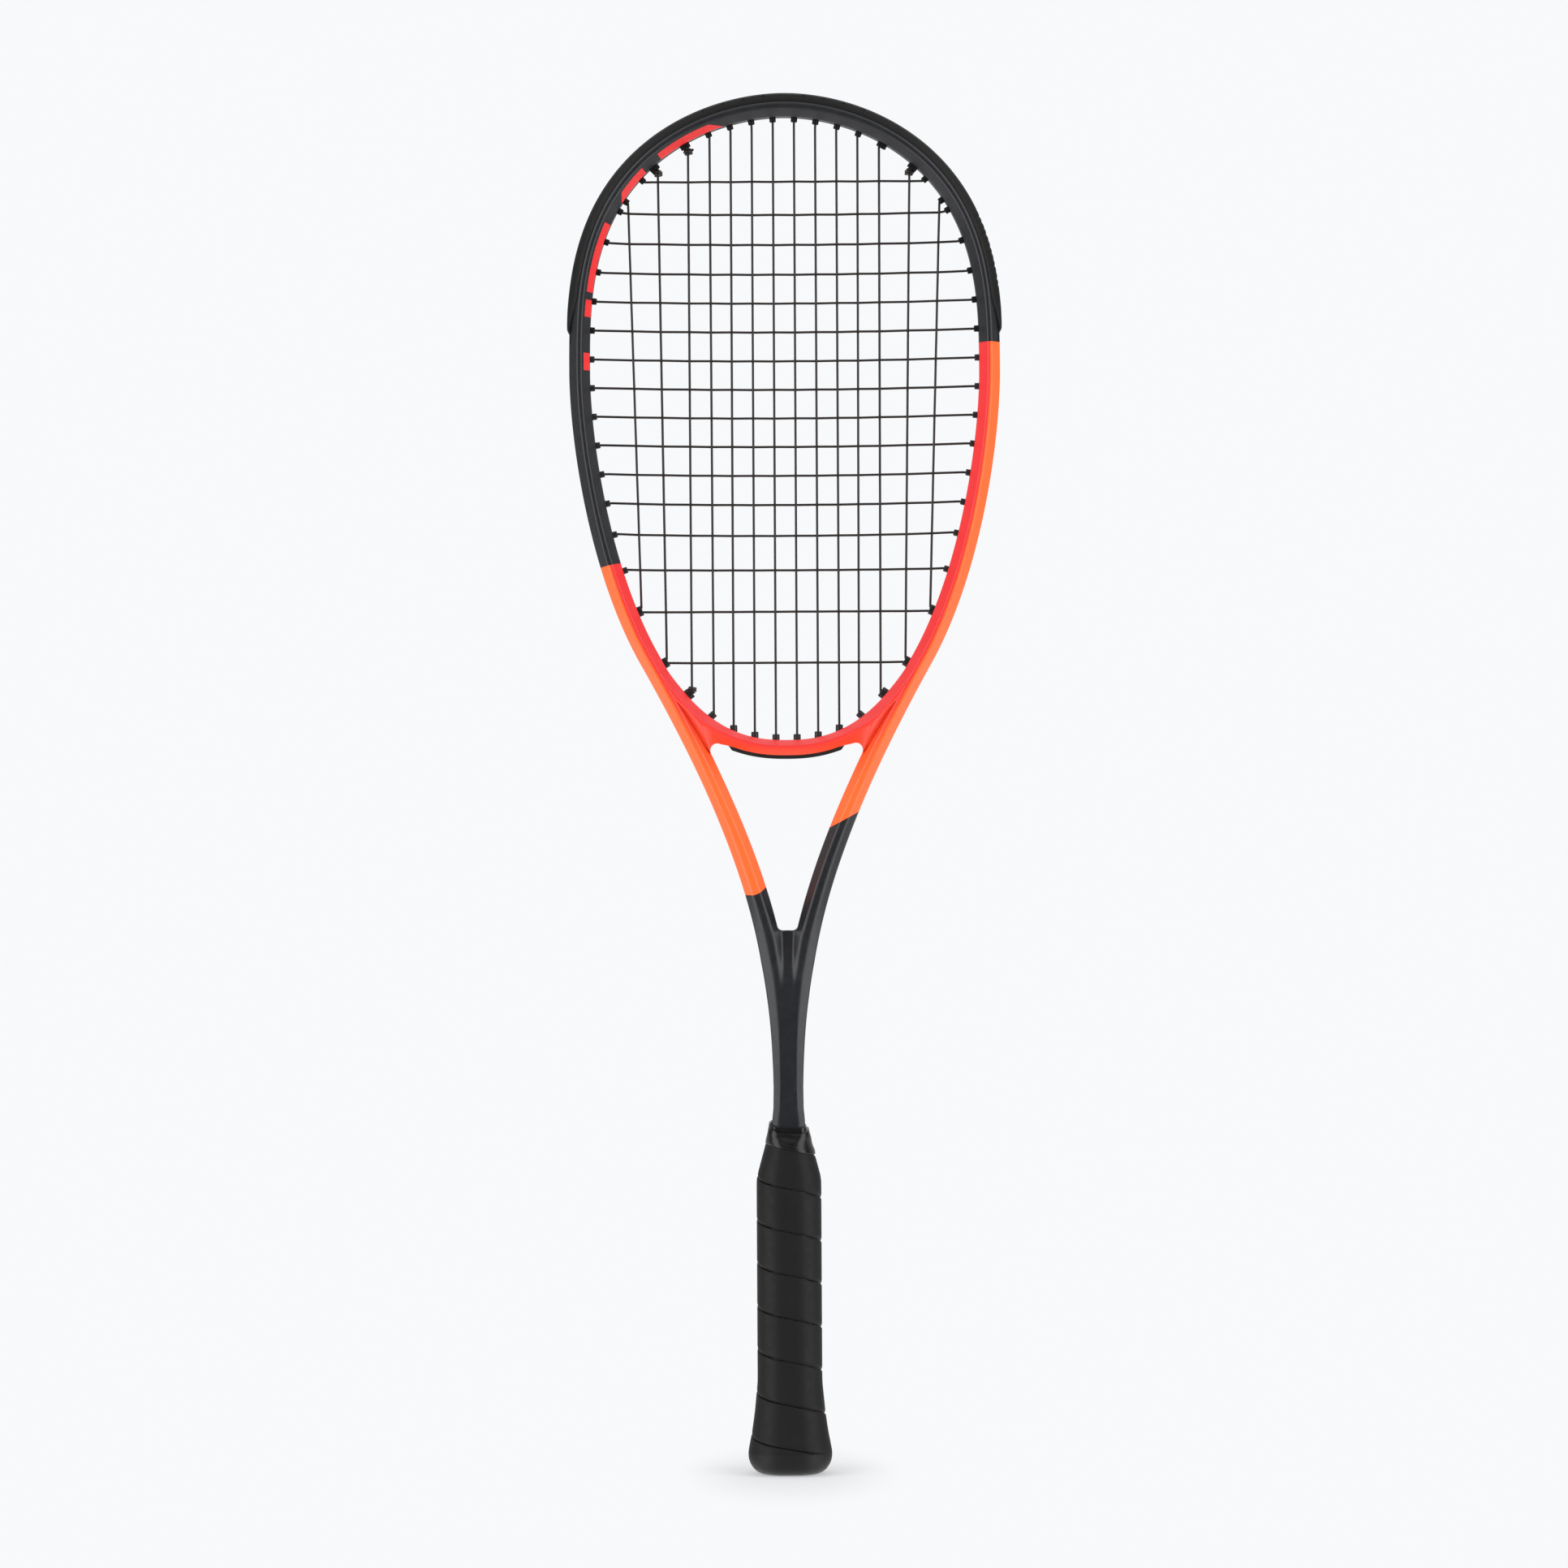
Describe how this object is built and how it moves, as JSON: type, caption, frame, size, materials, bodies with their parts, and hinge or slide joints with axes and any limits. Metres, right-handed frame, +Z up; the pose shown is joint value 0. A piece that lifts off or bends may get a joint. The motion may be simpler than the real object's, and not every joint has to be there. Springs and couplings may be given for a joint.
{
  "type": "squash racket",
  "caption": "Squash racket with a teardrop head and open throat: a drilled tube frame and bridge, bumper and grommet strips, a laced string bed, a wound grip and a flared butt cap.",
  "frame": {"origin": "centre of the flat end of the butt cap", "axes": "+Z up the racket from the butt to the head, +X to the right across the head as the picture shows it, +Y away from the viewer through the string bed"},
  "size_m": [0.2156, 0.036, 0.686],
  "materials": {
    "frame_lacquer": "satin lacquer, graphite above and orange to coral below",
    "bumper_nylon": "matt moulded nylon",
    "grommet_nylon": "matt moulded nylon",
    "string": "smooth, slightly glossy",
    "handle_foam": "moulded foam",
    "butt_rubber": "matt",
    "staple_steel": "drawn wire",
    "grip_skin": "matt polyurethane",
    "tape_vinyl": "glossy vinyl"
  },
  "bodies": {
    "root": {"frame": "frame_lacquer", "throat_bridge": "frame_lacquer", "bumper_guard": "bumper_nylon", "grommet_strip_left": "grommet_nylon", "grommet_strip_right": "grommet_nylon", "grommet_strip_throat": "grommet_nylon", "main_string": "string", "cross_string": "string", "handle_core": "handle_foam", "butt_cap": "butt_rubber", "cap_staples": "staple_steel", "grip_tape": "grip_skin", "finishing_tape": "tape_vinyl"}
  },
  "joints": []
}
